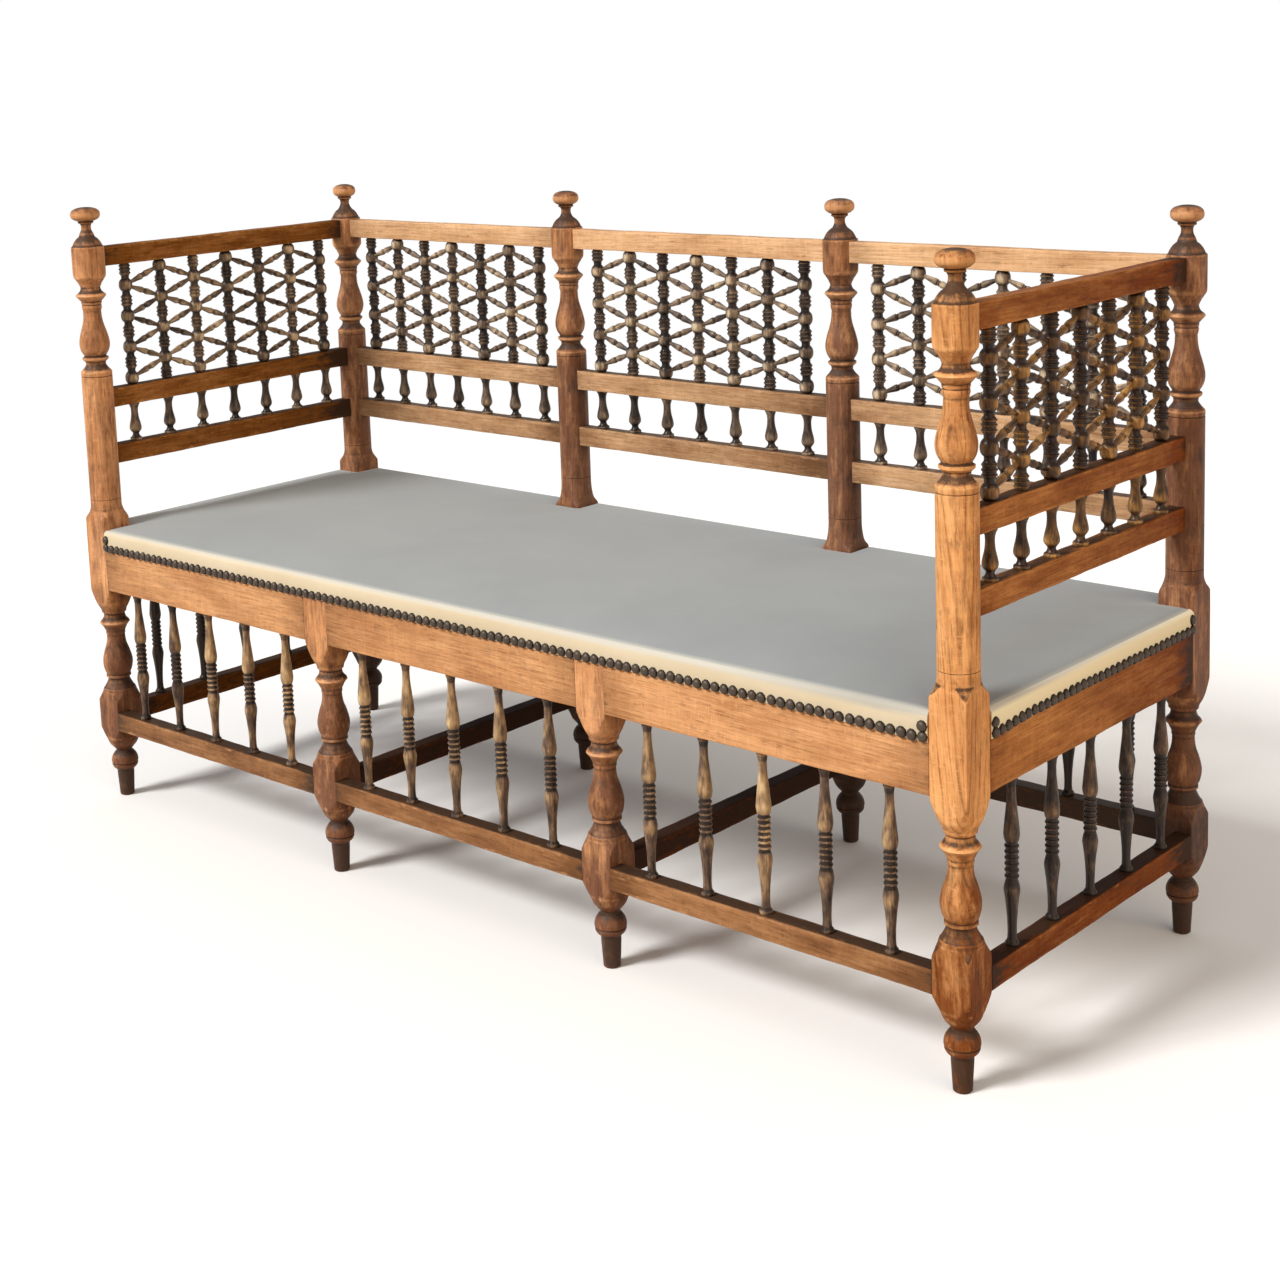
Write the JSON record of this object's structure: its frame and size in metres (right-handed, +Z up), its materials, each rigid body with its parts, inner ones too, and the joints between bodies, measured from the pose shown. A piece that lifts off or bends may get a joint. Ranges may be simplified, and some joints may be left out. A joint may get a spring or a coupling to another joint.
{
  "type": "spindle bench",
  "caption": "Long bench with arms and back of turned posts, bead lattices and short balusters, tall spindles under the seat and a thin seat pad nailed along its border.",
  "frame": {"origin": "on the floor under the middle of the bench's overall box", "axes": "+X along the bench to the right as seen from the front, +Y from the open front towards the back, +Z up"},
  "size_m": [1.6858, 0.6064, 0.975],
  "materials": {
    "post_wood": "oiled hardwood, satin",
    "rail_wood": "oiled hardwood, satin",
    "inner_wood": "plain sawn softwood",
    "turned_wood": "dark stain, worn on the high places",
    "seat_cloth": "plain woven cloth",
    "border_cloth": "plain woven cloth",
    "stuffing": "felted wadding",
    "nail_metal": "dark bronzed"
  },
  "bodies": {
    "root": {"post_front_left": "post_wood", "post_front_right": "post_wood", "post_back_left": "post_wood", "post_back_right": "post_wood", "post_back_inner_left": "post_wood", "post_back_inner_right": "post_wood", "leg_front_inner_left": "post_wood", "leg_front_inner_right": "post_wood", "top_rail_left": "rail_wood", "top_rail_right": "rail_wood", "top_rails_back": "rail_wood", "middle_rail_left": "rail_wood", "middle_rail_right": "rail_wood", "middle_rails_back": "rail_wood", "lower_rail_left": "rail_wood", "lower_rail_right": "rail_wood", "lower_rails_back": "rail_wood", "seat_rails_front": "rail_wood", "seat_rails_back": "rail_wood", "seat_rail_left": "rail_wood", "seat_rail_right": "rail_wood", "seat_bearer_left": "inner_wood", "seat_bearer_right": "inner_wood", "seat_boards": "inner_wood", "stretchers_front": "rail_wood", "stretchers_back": "rail_wood", "stretcher_left": "rail_wood", "stretcher_right": "rail_wood", "cross_stretcher_left": "rail_wood", "cross_stretcher_right": "rail_wood", "beads_left": "turned_wood", "beads_right": "turned_wood", "beads_back_left": "turned_wood", "beads_back_centre": "turned_wood", "beads_back_right": "turned_wood", "sticks_left": "turned_wood", "sticks_right": "turned_wood", "sticks_back_left": "turned_wood", "sticks_back_centre": "turned_wood", "sticks_back_right": "turned_wood", "balusters_left": "turned_wood", "balusters_right": "turned_wood", "balusters_back_left": "turned_wood", "balusters_back_centre": "turned_wood", "balusters_back_right": "turned_wood", "spindles_front_left": "turned_wood", "spindles_front_centre": "turned_wood", "spindles_front_right": "turned_wood", "spindles_back_left": "turned_wood", "spindles_back_centre": "turned_wood", "spindles_back_right": "turned_wood", "spindles_left": "turned_wood", "spindles_right": "turned_wood", "seat_padding": "stuffing", "seat_cover": "seat_cloth", "seat_border": "border_cloth", "seat_nails_front": "nail_metal", "seat_nails_back": "nail_metal", "seat_nails_left": "nail_metal", "seat_nails_right": "nail_metal"}
  },
  "joints": []
}
